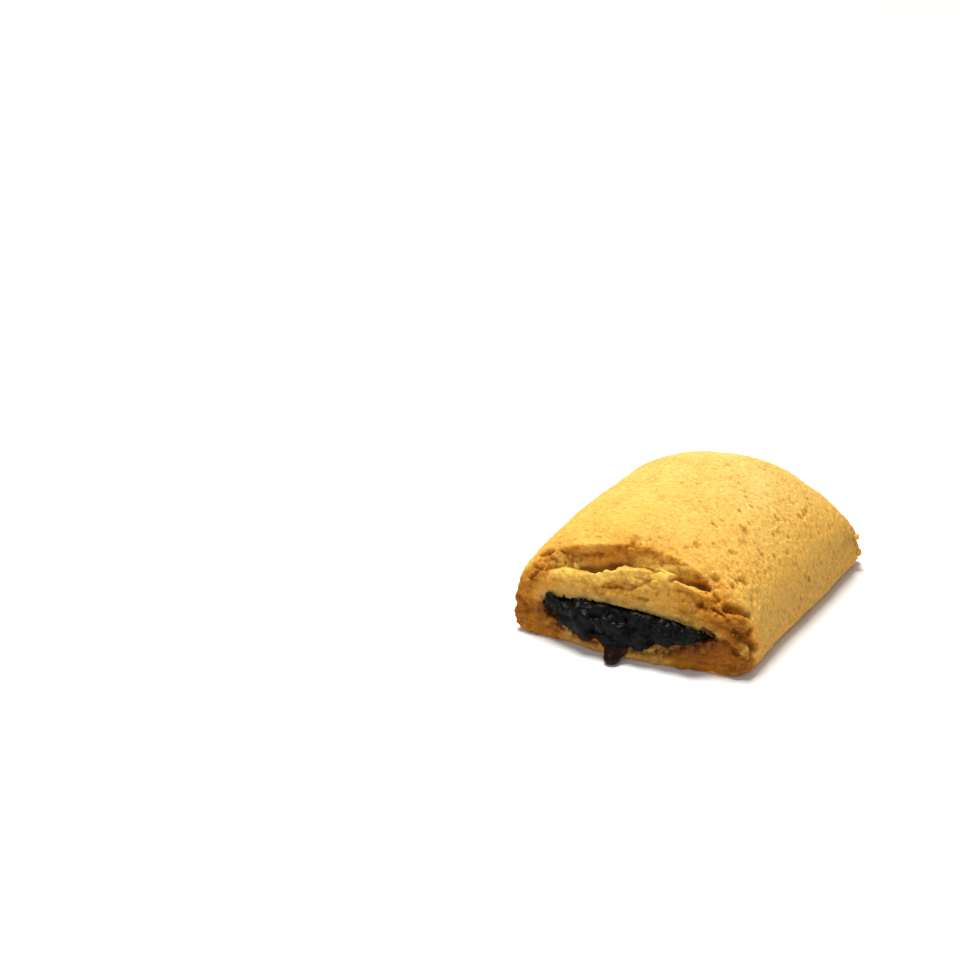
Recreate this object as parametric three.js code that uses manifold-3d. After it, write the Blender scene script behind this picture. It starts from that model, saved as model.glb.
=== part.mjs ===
// A filled shortbread cookie: a sleeve of baked dough, flat below and domed above, with a rope of dark berry
// jam running through it from one cut end to the other. Both were pressed out together as one long bar, and a
// blunt cutter chopped the bar, which dragged the top down at the cuts and tore it open behind the front one.
// Units are millimetres. +Z is up, +Y runs along the filling from the front cut to the back one, and the
// origin is the middle of the whole cookie's box, on the surface that the cookie rests on.
import * as THREE from 'three';
import { ParametricGeometry } from 'three/addons/geometries/ParametricGeometry.js';
import { mergeVertices } from 'three/addons/utils/BufferGeometryUtils.js';
import Module from 'manifold-3d';

// The loaf of dough
const WIDTH = 45;
const LENGTH = 56.8;
const HEIGHT = 25;
const SIDE_HEIGHT = 3.8;      // the sides are widest this far above the base
const DROP_POWER = 4.4;       // high, so that the crown stays level and turns down close to the cuts
const DOME_POWER = 2.65;      // roundness of the section's shoulders
const CORNER_POWER = 5;       // squareness of its lower corners
const BASE_FLATNESS = 1.12;   // over 1, so that most of the base is one plane
const CROWN_LEAN = -0.085;    // sideways, for each millimetre up
const CUT_SKEW = 0.08;        // along the loaf, for each millimetre across
const FRONT = { side: -1, drop: 0.29, narrowing: -0.045 };     // shares of height and width lost by the cut
const BACK = { side: 1, drop: 0.55, narrowing: 0.06 };

// The cut faces
const LIP_RADIUS = 1.0;       // where the crust turns into a cut face, under the jam
const BROW_RADIUS = 2.6;      // and over it
const EDGE_SHARE = [0.46, 0.16];   // of the dough's thickness that this turn takes, on the left and the right
const EDGE_SPAN = [-12, 6];   // the share changes between these places across the loaf
const MOUTH_RADIUS = 0.5;     // where a cut face turns into the tunnel
const LIP_REACH = 0.9;        // the lower lip stands out in front of the cut
const LIP_BELLY = 1.5;        // and further at its middle
const LIP_HEIGHT = 3.4;
const BROW_LEAN = [0.5, 1.9]; // the dough over the jam leans back, least on the left
const LEAN_SPAN = [-14, 6];
const BROW_BOTTOM = 10.5;
const BROW_TOP = 17.5;
const FACE_REACH = 9;         // how far along the loaf the lip and the brow's lean die out

// The tear along the brow's edge, a long one and a short one beside it: the crust ends in a rim, bare dough
// slopes down in front of it to a crevice, and a roll of dough stands before the crevice
const TEARS = [
  { middle: -2.6, halfSpan: 10, depth: 2.6 },
  { middle: 11.0, halfSpan: 3.2, depth: 1.3 },
];
const TEAR_FULLNESS = 0.75;
const TEAR_BACK = 0.55;       // how far back and how far down each millimetre of its depth goes
const TEAR_DOWN = 0.75;
const RIM_REACH = 0.6;        // the torn rim hangs forward over the slope
const RIM_RISE = 0.25;
const ROLL_REACH = 0.5;
const ROLL_RISE = 0.6;

// Wrinkles across the loaf beside the back cut, and the seam from each tip of the jam to the corner
const WRINKLES = [
  { setback: 3.6, depth: 0.9, wander: 0.7 },
  { setback: 7.4, depth: 0.4, wander: 2.3 },
];
const WRINKLE_WIDTH = 0.8;
const FOLD_WIDTH = 1.0;       // a fold stands up on either side of a wrinkle
const FOLD_OFFSET = 1.7;
const SEAM_DEPTH = 0.9;
const SEAM_WIDTH = 0.8;
const SEAM_REACH = 2.2;
const SEAM_FALL = 0.3;        // down for each millimetre out from the tip

// The jam's tunnel: a lens with a blunt left tip and a sharp right one
const TUNNEL_CENTRE_X = 0.1;
const TUNNEL_HALF_WIDTH = 16.9;
const TUNNEL_TIP_HEIGHT = 7.0;
const TUNNEL_RISE = 1.8;
const TUNNEL_SINK = 3.9;
const TUNNEL_SWELL = 4.2;     // its greatest height over or under its tips, at mid-length
const TIP_POWER = 1.2;
const TIP_DIFFERENCE = 0.5;
const LEFT_FULLNESS = 0.28;
const TUNNEL_STATIONS = [-0.97, -0.7, -0.35, 0, 0.35, 0.7, 0.97];   // shares of the half length
const JAM_CLEARANCE = 0.3;    // all round between jam and dough

// The jam
const JAM_BULGE = 0.9;        // the jam's ends stand out of the cut faces
const CAP_POWER = 4;          // over 2, so that they stay full up to their rims
const LUMP_COUNT = 30;
const LUMP_RADIUS = [1.2, 2.1];
const LUMP_HEIGHT = [0.25, 0.7];
const LIP_CLEARANCE = 0.5;    // straight out between the lip and the jam that ran over it
const RUN_PLACE = [-3.6, -1.5, 4.4];     // x, distance from the front cut, and height of the overflow
const RUN_RADII = [9.2, 1.8, 2.5];
const NECK_PLACE = [-1.2, -3.4, 2.3];
const NECK_RADII = [2.4, 1.4, 1.4];
const DROP_PLACE = [-1.1, -4.5, 1.25];
const DROP_RADII = [1.85, 1.5, 1.25];

const HALF_LENGTH = LENGTH / 2;
const AROUND = 88;            // points round a section of the dough
const JAM_AROUND = 56;

const wasm = await Module();
wasm.setup();

const mix = THREE.MathUtils.lerp;
const smooth = THREE.MathUtils.smoothstep;
const hump = (distance, reach) => Math.exp(-((distance / reach) ** 2));

// A repeatable stream of numbers from 0 to 1
function seededDraw(seed) {
  let state = seed;
  return (low = 0, high = 1) => {
    state = (Math.imul(state, 1664525) + 1013904223) >>> 0;
    return low + (high - low) * state / 2 ** 32;
  };
}

// Points of a closed outline that starts at its right tip: as many over its top as under it, evenly spaced
function evenOutline(count, pointAt) {
  const FINE = 400;
  const points = [];
  for (const side of [1, -1]) {
    const cornerAt = (n) => new THREE.Vector2(...pointAt(side * Math.PI * n / FINE));
    const half = new THREE.CurvePath();
    for (let i = 0; i < FINE; i++) half.add(new THREE.LineCurve(cornerAt(i), cornerAt(i + 1)));
    const spaced = half.getSpacedPoints(count / 2);
    points.push(...(side > 0 ? spaced.slice(0, -1) : spaced.slice(1).reverse()));
  }
  return points;
}

// The loaf's section with its half width, its dome and its side height each scaled to 1 at mid-length
const domeHeight = HEIGHT - SIDE_HEIGHT;
const loafOutline = evenOutline(AROUND, (angle) => {
  const [across, up] = [Math.cos(angle), Math.sin(angle)];
  if (up >= 0) return [WIDTH / 2 * across, domeHeight * up ** (2 / DOME_POWER)];
  const round = 2 / CORNER_POWER;
  const down = Math.min(1, BASE_FLATNESS * (-up) ** round);
  return [WIDTH / 2 * Math.sign(across) * Math.abs(across) ** round, -SIDE_HEIGHT * down];
});

function crownAt(y) {
  const { drop } = y < 0 ? FRONT : BACK;
  return HEIGHT * (1 - drop * Math.abs(y / HALF_LENGTH) ** DROP_POWER);
}

function loafPoint(index, y) {
  const { x, y: rise } = loafOutline[index % AROUND];
  const { narrowing } = y < 0 ? FRONT : BACK;
  const narrowed = 1 - narrowing * Math.abs(y / HALF_LENGTH) ** 3;
  const lift = rise > 0 ? rise * (crownAt(y) - SIDE_HEIGHT) / domeHeight : rise;
  return new THREE.Vector3(x * narrowed, y, SIDE_HEIGHT + lift);
}

function lensOutline(count, inset) {
  return evenOutline(count, (angle) => {
    const [across, up] = [Math.cos(angle), Math.sin(angle)];
    const fullness = Math.abs(up) ** (TIP_POWER + TIP_DIFFERENCE * across) * (1 - LEFT_FULLNESS * across);
    const reach = (up > 0 ? TUNNEL_RISE : -TUNNEL_SINK) + (up > 0 ? -inset : inset);
    return [(TUNNEL_HALF_WIDTH - 2 * inset) * across, reach * fullness];
  });
}
const tunnelOutline = lensOutline(AROUND, 0);
const jamOutline = lensOutline(JAM_AROUND, JAM_CLEARANCE);

function lensPoint(outline, index, y) {
  const { x, y: rise } = outline[index % outline.length];
  const swell = rise > 0 ? crownAt(y) / crownAt(-HALF_LENGTH) : 1;
  return new THREE.Vector3(TUNNEL_CENTRE_X + x, y, TUNNEL_TIP_HEIGHT + rise * swell);
}

// Lower lip and leaning brow, as a shift along the loaf that both ends share
function faceShift(point) {
  const end = Math.sign(point.y);
  const fade = smooth(Math.abs(point.y), HALF_LENGTH - FACE_REACH, HALF_LENGTH - LIP_RADIUS);
  const across = Math.max(0, 1 - (point.x / (WIDTH / 2)) ** 2);
  const belly = LIP_REACH * across ** 0.3 + LIP_BELLY * hump(point.x, WIDTH / 5);
  const lip = belly * hump(point.z - LIP_HEIGHT / 3, LIP_HEIGHT * 0.6);
  const lean = mix(...BROW_LEAN, smooth(point.x, ...LEAN_SPAN));
  const brow = lean * smooth(point.z, BROW_BOTTOM, BROW_TOP);
  return end * fade * (lip - brow);
}

// 0 on the tunnel's wall and 1 on the crust, so that the relief stays off the jam
function crustShare({ x, z }) {
  const oval = Math.hypot((x - TUNNEL_CENTRE_X) / TUNNEL_HALF_WIDTH, (z - TUNNEL_TIP_HEIGHT) / TUNNEL_SWELL);
  return smooth(oval, 1.04, 1.25);
}

// Soft hollows and swellings over the whole crust
function wobble({ x, y, z }) {
  return 0.16 * Math.sin(0.23 * x + 0.13 * y + 1.1) * Math.sin(0.17 * y - 0.9)
    + 0.14 * Math.sin(0.41 * y + 0.32 * x) * Math.sin(0.35 * z + 0.6);
}

// Dents in the crust, each with its middle (x, distance from the front cut, height), its size and its depth
const DENTS = [
  { at: [15.8, 2.6, 16.2], size: [2.3, 2.2, 2.0], deep: 0.9 },     // down the right edge of the brow
  { at: [18.8, 1.8, 13.2], size: [2.1, 2.2, 1.8], deep: 0.9 },
  { at: [21.4, 1.6, 8.6], size: [1.7, 1.7, 2.1], deep: 1.4 },
  { at: [14.6, 0.6, 12.8], size: [1.9, 1.6, 1.1], deep: 0.6 },
  { at: [3.2, 0.6, 12.4], size: [1.9, 1.6, 1.0], deep: 0.5 },
  { at: [-14.2, 1.0, 14.6], size: [2.6, 1.5, 1.2], deep: 0.8 },    // crumbly left shoulder
  { at: [-17.6, 2.6, 15.0], size: [1.8, 1.5, 1.4], deep: 0.7 },
  { at: [-21.2, 1.0, 8.2], size: [1.8, 1.7, 1.7], deep: 0.8 },
  { at: [1.5, 23.2, 24.4], size: [1.8, 1.8, 1.5], deep: 0.3 },     // pricks in the crown
  { at: [10.0, 15.0, 22.2], size: [2.0, 1.8, 1.5], deep: 0.35 },
  { at: [15.2, 29.0, 18.6], size: [1.8, 1.8, 1.5], deep: 0.35 },
];

function tearDepth(x) {
  return TEARS.reduce((deepest, { middle, halfSpan, depth }) => {
    const along = Math.min(1, Math.abs(x - middle) / halfSpan);
    return Math.max(deepest, depth * (1 - along ** 2) ** TEAR_FULLNESS);
  }, 0);
}

// Depth of the wrinkles, where the cutter pushed the crust into folds
function wrinkleDepth(point) {
  return WRINKLES.reduce((sum, { setback, depth, wander }) => {
    const bend = 0.7 * Math.sin(0.33 * point.x + wander) + 0.3 * Math.sin(0.9 * point.x + 2 * wander);
    const distance = HALF_LENGTH - point.y - setback - bend;
    const strength = depth * (0.6 + 0.4 * Math.sin(0.5 * point.x + 3 * wander));
    const folds = hump(distance - FOLD_OFFSET, FOLD_WIDTH) + hump(distance + FOLD_OFFSET, FOLD_WIDTH);
    return sum + strength * (hump(distance, WRINKLE_WIDTH) - folds / 2);
  }, 0);
}

// Depth of the seam between the upper dough and the lip
function seamDepth(point) {
  const beyondTip = Math.abs(point.x - TUNNEL_CENTRE_X) - TUNNEL_HALF_WIDTH + 1;
  if (beyondTip < 0) return 0;
  const line = TUNNEL_TIP_HEIGHT - SEAM_FALL * beyondTip;
  const nearEnd = hump(HALF_LENGTH - Math.abs(point.y), SEAM_REACH);
  return SEAM_DEPTH * nearEnd * smooth(beyondTip, 0, 1.5) * hump(point.z - line, SEAM_WIDTH);
}

function doughRelief(point, normal) {
  const moved = point.clone();
  if (point.z < 0.05 && normal.z < -0.5) return moved;
  const onTop = smooth(normal.z, -0.1, 0.4);
  let sink = wobble(point) + seamDepth(point) + onTop * wrinkleDepth(point);
  for (const { at: [x, setback, z], size, deep } of DENTS) {
    const [dx, dy, dz] = [point.x - x, point.y + HALF_LENGTH - setback, point.z - z];
    sink += deep * Math.exp(-((dx / size[0]) ** 2 + (dy / size[1]) ** 2 + (dz / size[2]) ** 2));
  }
  moved.addScaledVector(normal, -sink).lerp(point, 1 - crustShare(point));
  moved.z = Math.max(moved.z, 0);
  return moved;
}

// The sleeve's wall as one closed loop of stations: along the crust, in over the back cut, back through the
// tunnel and out over the front cut. "inward" is 0 on the crust and 1 on the tunnel's wall, "edge" is the
// share of the edge's radius that lies between a station and the cut, "turned" says how far the edge has
// turned into the cut, and "rim", "tear" and "roll" shape the tear.
function wallLoop() {
  const FRONT_STEPS = [0.7, 1.5, 2.4, 3.5, 5.2, 7.6];
  const BACK_STEPS = [9.4, 7.4, 5.6, 4.4, 3.4, 2.4, 1.2];
  const MIDDLE_STEPS = 7;
  const TURN_STEPS = 6;
  const TEAR_STATIONS = [
    { rim: 0.5 },
    { rim: 1 },
    { tear: 0.45 },
    { tear: 0.72 },
    { tear: 1 },
    { roll: 1 },
    { roll: 0.5 },
  ];
  const FACE_SHARES = [0.2, 0.4, 0.6, 0.8, 0.93];

  const crust = FRONT_STEPS.map((setback) => ({ end: FRONT, setback, edge: 1 - setback / FACE_REACH }));
  const [from, to] = [FRONT_STEPS.at(-1), LENGTH - BACK_STEPS[0]];
  for (let i = 1; i < MIDDLE_STEPS; i++) {
    crust.push({ end: FRONT, setback: mix(from, to, i / MIDDLE_STEPS), edge: 0 });
  }
  for (const setback of BACK_STEPS) {
    crust.push({ end: BACK, setback, edge: Math.max(0, 1 - setback / FACE_REACH) });
  }

  const cut = (end) => {
    const stations = [];
    for (let i = 0; i <= TURN_STEPS; i++) {
      const turn = Math.PI / 2 * i / TURN_STEPS;
      const torn = end === FRONT ? TEAR_STATIONS[i] : {};
      stations.push({ end, setback: 0, edge: 1 - Math.sin(turn), turned: 1 - Math.cos(turn), ...torn });
    }
    for (const inward of FACE_SHARES) stations.push({ end, setback: 0, edge: 0, turned: 1, inward });
    stations.push({ end, setback: MOUTH_RADIUS, edge: 0, inward: 1 });
    return stations;
  };

  const tunnel = TUNNEL_STATIONS.slice(1, -1).reverse().map((share) => (
    { end: FRONT, setback: HALF_LENGTH * (1 + share), edge: 0, inward: 1 }
  ));
  return [...crust, ...cut(BACK), ...tunnel, ...cut(FRONT).reverse()];
}

// A closed grid of points as a geometry whose shared points are one
function gridGeometry(pointAt, across, along) {
  const at = (u, v, target) => target.copy(pointAt(Math.round((1 - u) * across), Math.round(v * along)));
  const grid = new ParametricGeometry(at, across, along);
  grid.deleteAttribute('normal');
  grid.deleteAttribute('uv');
  const merged = mergeVertices(grid, 1e-4);
  merged.computeVertexNormals();
  return merged;
}

function reshape(geometry, move) {
  const position = geometry.getAttribute('position');
  const normal = geometry.getAttribute('normal');
  for (let i = 0; i < position.count; i++) {
    const moved = move(
      new THREE.Vector3().fromBufferAttribute(position, i),
      new THREE.Vector3().fromBufferAttribute(normal, i),
    );
    position.setXYZ(i, moved.x, moved.y, moved.z);
  }
  return geometry;
}

function doughGeometry() {
  const loop = wallLoop();
  const wallPoint = (index, stop) => {
    const station = loop[stop % loop.length];
    const { end, setback, edge, turned = 0, inward = 0, rim = 0, tear = 0, roll = 0 } = station;
    const { x: across, z: crustHeight } = loafPoint(index, end.side * (HALF_LENGTH - setback));
    const radius = mix(LIP_RADIUS, BROW_RADIUS, smooth(crustHeight, SIDE_HEIGHT, BROW_BOTTOM));
    const y = end.side * (HALF_LENGTH - setback - edge * radius);
    const edgeShare = turned * mix(...EDGE_SHARE, smooth(across, ...EDGE_SPAN));
    const share = mix(edgeShare, 1, inward);
    const point = loafPoint(index, y).lerp(lensPoint(tunnelOutline, index, y), share);
    point.y += faceShift(point);
    const depth = crustHeight > BROW_BOTTOM ? tearDepth(point.x) : 0;
    const openness = Math.min(1, depth / 2);
    point.y += TEAR_BACK * tear * depth - openness * (RIM_REACH * rim + ROLL_REACH * roll);
    point.z += openness * (RIM_RISE * rim + ROLL_RISE * roll) - TEAR_DOWN * tear * depth;
    return point;
  };
  return reshape(gridGeometry(wallPoint, AROUND, loop.length), doughRelief);
}

// Lumps of fruit in the jam's two ends, drawn by a rule so that they stay the same
function jamLumps(seed) {
  const draw = seededDraw(seed);
  return Array.from({ length: LUMP_COUNT }, () => ({
    x: TUNNEL_CENTRE_X + TUNNEL_HALF_WIDTH * draw(-0.9, 0.9),
    z: TUNNEL_TIP_HEIGHT + draw(-TUNNEL_SINK, TUNNEL_RISE),
    radius: draw(...LUMP_RADIUS),
    height: draw(...LUMP_HEIGHT) * (draw() < 0.3 ? -1 : 1),
  }));
}

function ropeGeometry() {
  const CAP_STEPS = 6;
  const body = TUNNEL_STATIONS.map((share) => share * HALF_LENGTH);
  body[0] = -HALF_LENGTH;
  body[body.length - 1] = HALF_LENGTH;
  const lumps = { '-1': jamLumps(11), 1: jamLumps(29) };
  const last = 2 * CAP_STEPS + body.length - 1;
  const ropePoint = (index, stop) => {
    const end = stop < last / 2 ? -1 : 1;
    const spread = Math.min(1, Math.min(stop, last - stop) / CAP_STEPS);
    const y = body[THREE.MathUtils.clamp(stop - CAP_STEPS, 0, body.length - 1)];
    const rim = lensPoint(jamOutline, index, y);
    const point = new THREE.Vector3(TUNNEL_CENTRE_X, y, TUNNEL_TIP_HEIGHT - 0.5).lerp(rim, spread);
    if (spread < 1) {
      let out = JAM_BULGE;
      for (const lump of lumps[end]) {
        out += lump.height * hump(Math.hypot(point.x - lump.x, point.z - lump.z), lump.radius);
      }
      point.y += end * out * Math.sqrt(1 - spread ** CAP_POWER);
    }
    point.y += faceShift(point);
    return point;
  };
  return gridGeometry(ropePoint, JAM_AROUND, last);
}

function asSolid(geometry) {
  return new wasm.Manifold(new wasm.Mesh({
    numProp: 3,
    vertProperties: geometry.getAttribute('position').array,
    triVerts: new Uint32Array(geometry.index.array),
  }));
}

function asGeometry(solid) {
  const { vertProperties, triVerts } = solid.getMesh();
  return new THREE.BufferGeometry()
    .setAttribute('position', new THREE.BufferAttribute(new Float32Array(vertProperties), 3))
    .setIndex(new THREE.BufferAttribute(new Uint32Array(triVerts), 1));
}

function ball([x, setback, z], radii, detail = 12) {
  const geometry = new THREE.SphereGeometry(1, 2 * detail, detail);
  geometry.scale(...radii).translate(x, setback - HALF_LENGTH, z);
  geometry.deleteAttribute('normal');
  geometry.deleteAttribute('uv');
  return mergeVertices(geometry, 1e-4);
}

// Jam that welled over the lower lip, ran down in front of it and gathered in a drop on the table
function jamGeometry() {
  const clearOfLip = asSolid(doughGeometry()).translate(0, -LIP_CLEARANCE, 0);
  const overflow = [
    ball(RUN_PLACE, RUN_RADII),
    ball(NECK_PLACE, NECK_RADII, 8),
    ball(DROP_PLACE, DROP_RADII, 10),
  ];
  const run = overflow.map(asSolid).reduce((jam, blob) => jam.add(blob)).subtract(clearOfLip);
  return asGeometry(run.add(asSolid(ropeGeometry())));
}

// The dome leans and the cuts run askew
function shear(geometry) {
  const matrix = new THREE.Matrix4().set(1, 0, CROWN_LEAN, 0, CUT_SKEW, 1, 0, 0, 0, 0, 1, 0, 0, 0, 0, 1);
  return geometry.applyMatrix4(matrix);
}

function piece(name, geometry, finish) {
  const mesh = new THREE.Mesh(shear(geometry), new THREE.MeshStandardMaterial(finish));
  mesh.name = name;
  return mesh;
}

const cookie = new THREE.Group();
cookie.add(
  piece('dough', doughGeometry(), { color: 0xd9a85c, roughness: 0.85, metalness: 0 }),
  piece('jam', jamGeometry(), { color: 0x1c1220, roughness: 0.3, metalness: 0 }),
);
const box = new THREE.Box3().setFromObject(cookie);
cookie.position.set(-(box.min.x + box.max.x) / 2, -(box.min.y + box.max.y) / 2, -box.min.z);

export default cookie;
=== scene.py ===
import math

import bmesh
import bpy
import numpy as np
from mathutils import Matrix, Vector, kdtree, noise


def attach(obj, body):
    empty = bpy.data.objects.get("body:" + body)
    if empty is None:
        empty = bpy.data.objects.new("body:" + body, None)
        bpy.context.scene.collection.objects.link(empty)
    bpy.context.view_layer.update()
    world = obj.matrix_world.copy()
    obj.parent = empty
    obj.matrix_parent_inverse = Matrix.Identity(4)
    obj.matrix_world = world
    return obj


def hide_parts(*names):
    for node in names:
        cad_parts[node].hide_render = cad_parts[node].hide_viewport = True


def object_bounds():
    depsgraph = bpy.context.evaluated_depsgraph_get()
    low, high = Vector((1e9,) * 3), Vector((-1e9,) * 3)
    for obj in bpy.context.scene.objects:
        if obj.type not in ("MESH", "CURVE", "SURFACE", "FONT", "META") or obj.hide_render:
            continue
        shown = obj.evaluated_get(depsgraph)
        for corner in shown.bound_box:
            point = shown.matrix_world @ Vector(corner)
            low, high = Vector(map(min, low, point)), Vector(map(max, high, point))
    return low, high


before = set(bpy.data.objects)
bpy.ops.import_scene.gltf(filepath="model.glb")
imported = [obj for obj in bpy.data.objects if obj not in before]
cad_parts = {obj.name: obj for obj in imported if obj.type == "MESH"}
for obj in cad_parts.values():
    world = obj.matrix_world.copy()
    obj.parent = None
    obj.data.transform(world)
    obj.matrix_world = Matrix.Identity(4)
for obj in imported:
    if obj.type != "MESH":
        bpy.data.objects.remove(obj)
CAD_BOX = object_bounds()
MM = 0.001


# ------------------------------------------------------------------------------------------------------------
# The dough: a sleeve of pale, fat-rich shortbread, pressed out round its filling as one long bar, chopped
# to length and baked. Its crown is smooth and finely grained, with small pits where air and butter left it.
# The blunt cutter tore the crust along the brow of the front cut, and left crumbly folds at its corners.

ROUNDING_STEPS = 2      # halvings that round the solid's flat faces off
CELL_MM = 0.22          # the crust is modelled with points this far apart
MOST_TRIANGLES = 192000

# Where the front cut meets the loaf's middle line, how much it's skewed (mm of y per mm of x), and the length
# between the cuts, as the solid has them. This section's sizes and places are in mm.
FRONT_CUT_Y = -26.5
CUT_SKEW = 0.08
LOAF_LENGTH = 56.8

# The tunnel is an oval in section, and its walls are left smooth from this far behind either cut
TUNNEL_MIDDLE_Z = 7.0
TUNNEL_HALF_WIDTH = 17.6
TUNNEL_HALF_HEIGHT = 4.6
TUNNEL_EDGE = 1.2

# How far the torn brow's forms stand out or go in
RIM_RISE = 0.25
GAP_DEPTH = 1.2
ROLL_RISE = 0.3
ROLL_DIP = 0.65         # the roll sinks in front of the gap's deepest part
FOLD_DEPTH = 0.35
CORNER_LUMP_RISE = 0.4
MOST_CRAG = 0.4         # no ragged layer stands out further than this

# Lines along the torn brow, from left to right
RIM = [     # the crust's torn edge
    (-12.5, -25.4, 15.2), (-9.7, -24.7, 16.3), (-7.4, -24.1, 17.4), (-4.4, -23.7, 18.9),
    (-1.4, -23.0, 20.2), (1.5, -22.9, 20.0), (5.0, -22.7, 18.9), (7.0, -22.6, 17.9),
]
GAP = [     # the dark gap below it
    (-10.4, -25.2, 14.3), (-7.8, -24.6, 14.4), (-6.2, -24.2, 14.6), (-3.4, -23.6, 15.6),
    (-1.6, -23.3, 16.4),
]
ROLL = [     # the lumpy roll of dough in front of the gap
    (-14.6, -26.2, 14.0), (-11.0, -26.0, 13.9), (-6.0, -26.0, 14.6), (-2.5, -24.6, 15.4),
    (1.0, -23.9, 16.6), (4.8, -23.5, 16.9), (7.0, -23.4, 17.0),
]
SECOND_RIM = [     # the edge of the shorter tear
    (8.0, -23.5, 17.0), (10.3, -22.4, 16.5), (12.8, -22.0, 16.1),
]
FOLD = [     # the fold that the roll hangs over
    (-5.2, -26.7, 12.3), (-2.3, -26.4, 13.0), (-0.4, -26.1, 12.9), (1.7, -25.5, 14.2),
    (3.5, -25.1, 15.1),
]
RIGHT_FOLDS = [     # down the cut's right-hand edge
    (14.4, -23.6, 14.0), (17.4, -23.6, 12.6), (20.0, -23.4, 10.6), (22.0, -23.2, 7.6),
    (22.4, -23.2, 2.5),
]
LEFT_FOLDS = [     # and down its left-hand edge
    (-13.6, -25.7, 15.2), (-17.2, -26.0, 14.2), (-20.0, -27.0, 11.4), (-21.8, -27.4, 7.0),
    (-22.0, -27.8, 2.5),
]

# The jam's mouth in both cuts: the tunnel's upper and lower edge (x, z)
MOUTH_TOP = [
    (-16.6, 7.2), (-15.0, 8.4), (-9.0, 9.1), (-1.0, 9.1), (4.0, 8.8),
    (9.0, 8.5), (14.0, 7.6), (16.2, 7.1),
]
MOUTH_BOTTOM = [
    (-16.6, 6.0), (-15.0, 4.2), (-13.0, 3.7), (-9.0, 3.0), (-1.0, 2.8),
    (4.0, 3.2), (9.0, 4.2), (14.0, 5.6), (16.2, 6.6),
]

# Slits where the dough parted, each as a path, half its width and its depth
SLITS = [
    # the shorter tear
    ([(7.5, -24.0, 15.9), (10.3, -22.7, 15.3), (13.7, -22.3, 15.1)], 0.55, 1.0),
    # down the right-hand folds
    ([(15.2, -22.6, 14.6), (16.2, -22.9, 13.9)], 0.45, 0.6),
    ([(18.1, -23.0, 12.6), (20.4, -21.9, 12.1), (21.4, -20.2, 10.8)], 0.75, 1.1),
    ([(16.1, -24.5, 12.1), (17.7, -24.4, 11.9), (18.9, -24.5, 11.0)], 0.5, 0.8),
    ([(12.7, -24.5, 12.6), (14.6, -24.6, 11.8)], 0.45, 0.7),
    ([(20.8, -24.1, 8.8), (22.2, -23.1, 7.3), (23.0, -21.1, 5.2)], 1.0, 1.6),
    ([(22.4, -22.4, 7.8), (22.3, -21.0, 8.6)], 0.5, 0.9),
    # from the jam's right tip to the corner
    ([(14.6, -25.3, 8.3), (16.8, -25.0, 7.3), (19.3, -24.5, 6.2), (21.0, -24.3, 4.6)], 0.45, 0.9),
    # on the brow
    ([(1.7, -26.2, 11.9), (3.5, -26.0, 11.6)], 0.35, 0.45),
    ([(5.3, -25.3, 13.9), (5.2, -25.6, 12.8)], 0.3, 0.25),
    ([(7.1, -25.0, 14.1), (7.3, -25.2, 13.2)], 0.3, 0.25),
    # on the left shoulder
    ([(-19.3, -24.9, 14.8), (-16.8, -25.1, 16.2)], 0.4, 0.5),
    ([(-14.6, -25.2, 17.0), (-13.2, -25.6, 16.2)], 0.4, 0.5),
    ([(-16.8, -26.4, 13.6), (-14.2, -26.0, 14.4)], 0.4, 0.5),
    ([(-20.0, -27.5, 11.2), (-18.6, -27.4, 12.4)], 0.5, 0.5),
    # down the left edge
    ([(-22.3, -27.7, 6.6), (-21.2, -27.6, 5.4)], 0.5, 0.5),
    ([(-22.2, -27.9, 3.8), (-20.2, -28.1, 4.1)], 0.4, 0.4),
]

# Pits that stand out: place, half width, half length down the slope, and depth
PITS = [
    # down the right flank
    ((13.8, -6.7, 20.6), 0.5, 1.2, 0.60),
    ((17.9, -7.7, 17.1), 0.45, 1.1, 0.60),
    ((18.9, 9.7, 16.0), 0.4, 1.0, 0.50),
    ((14.8, -14.4, 19.4), 0.5, 1.0, 0.50),
    ((12.8, -13.8, 20.7), 0.4, 1.2, 0.35),
    ((18.8, -17.1, 15.5), 0.5, 1.1, 0.75),
    ((17.7, -19.9, 15.4), 0.4, 0.8, 0.75),
    ((14.5, -20.6, 16.5), 0.5, 1.0, 0.50),
    ((17.2, 0.9, 17.8), 0.35, 0.7, 0.40),
    ((19.4, -0.1, 14.8), 0.35, 0.7, 0.40),
    ((15.5, 5.3, 19.3), 0.3, 1.6, 0.35),
    ((11.7, 7.1, 21.9), 0.3, 1.2, 0.30),
    ((15.1, 11.4, 19.7), 0.3, 1.4, 0.35),
    ((9.5, -18.2, 20.9), 0.6, 1.0, 0.50),
    ((12.3, -16.0, 20.4), 0.4, 1.0, 0.35),
    # on the crown
    ((4.9, -9.6, 24.1), 0.3, 0.8, 0.30),
    ((-1.5, -10.2, 24.7), 0.3, 0.6, 0.25),
    ((1.3, -11.6, 24.4), 0.3, 0.5, 0.25),
    ((-9.2, -13.9, 23.5), 0.3, 0.6, 0.30),
]
LARGER_PITS = 40        # more of about that size, drawn over the right half of the crown
SMALL_PITS = 420        # and smaller ones, all over it
STRETCH_WAY = np.array([0.25, 0, -1.0])     # pits are drawn out this way, down the loaf's flanks

# Flecks of burnt sugar: place and radius, three in the crown, two in the roll and one at the tip of the rim
SPECKS = [
    ((-1.8, -2.4, 24.9), 0.4),
    ((0.9, -1.2, 24.9), 0.4),
    ((17.5, 11.8, 17.6), 0.6),
    ((-4.4, -26.2, 15.2), 0.4),
    ((-8.7, -26.9, 13.2), 0.6),
    ((-1.4, -22.5, 20.6), 0.5),
]

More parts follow.
